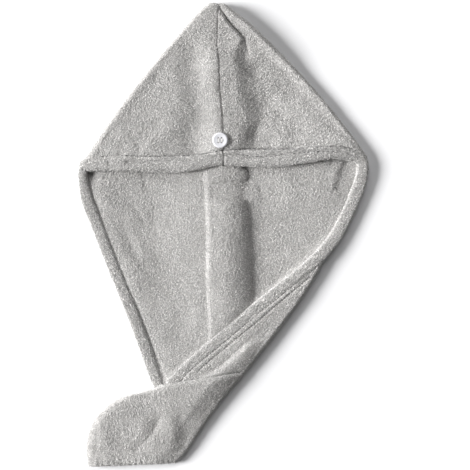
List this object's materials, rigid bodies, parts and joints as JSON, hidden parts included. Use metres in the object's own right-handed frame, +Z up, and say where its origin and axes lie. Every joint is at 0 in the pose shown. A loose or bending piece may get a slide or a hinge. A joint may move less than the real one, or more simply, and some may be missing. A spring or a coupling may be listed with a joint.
{
  "type": "hair towel",
  "caption": "Hair-drying hood of napped towelling, laid flat: pointed hood with an open face, back panel narrowing to a folded tail, sewn hem round the opening and a fastening button.",
  "frame": {"origin": "middle of the bounding box's base, on the surface that the towel lies on", "axes": "+Z up from the surface, +Y from the tail towards the hood's tip, +X to the right as seen from above with the tip up"},
  "size_m": [0.3914, 0.6243, 0.0218],
  "materials": {
    "towelling": "soft grey napped microfibre towelling, matt",
    "hem": "the same towelling turned in and sewn, plumper pile",
    "button": "smooth white resin with a soft gloss",
    "thread": "white sewing thread"
  },
  "bodies": {
    "root": {"towel_cloth": "towelling", "front_hem": "hem", "left_hem": "hem", "right_hem": "hem", "button": "button", "button_thread": "thread"}
  },
  "joints": []
}
